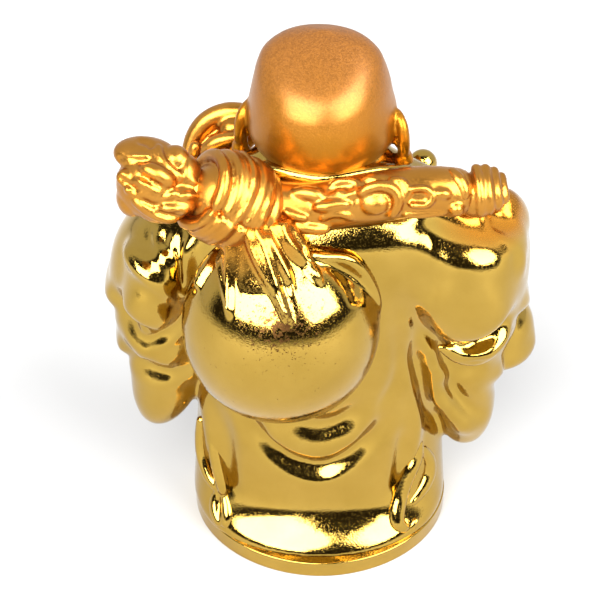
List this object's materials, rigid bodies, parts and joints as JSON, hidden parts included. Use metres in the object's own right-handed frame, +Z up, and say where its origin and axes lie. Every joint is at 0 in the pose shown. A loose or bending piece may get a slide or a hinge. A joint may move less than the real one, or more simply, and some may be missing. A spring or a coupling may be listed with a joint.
{
  "type": "budai figure",
  "caption": "Standing budai ornament in gilt cast resin that carries a round sack slung from a dragon-headed staff across its shoulders, on a flat oval foot.",
  "frame": {"origin": "middle of the flat underside of the oval foot, on the surface it stands on", "axes": "+Z up through the head, -Y the way the face looks, +X the side of the figure's left hand"},
  "size_m": [0.0683, 0.0482, 0.0898],
  "materials": {
    "gilt_resin": "mirror gold metallised over cast resin, matt orange gold flake paint on the head"
  },
  "bodies": {
    "root": {"budai_figure": "gilt_resin"}
  },
  "joints": []
}
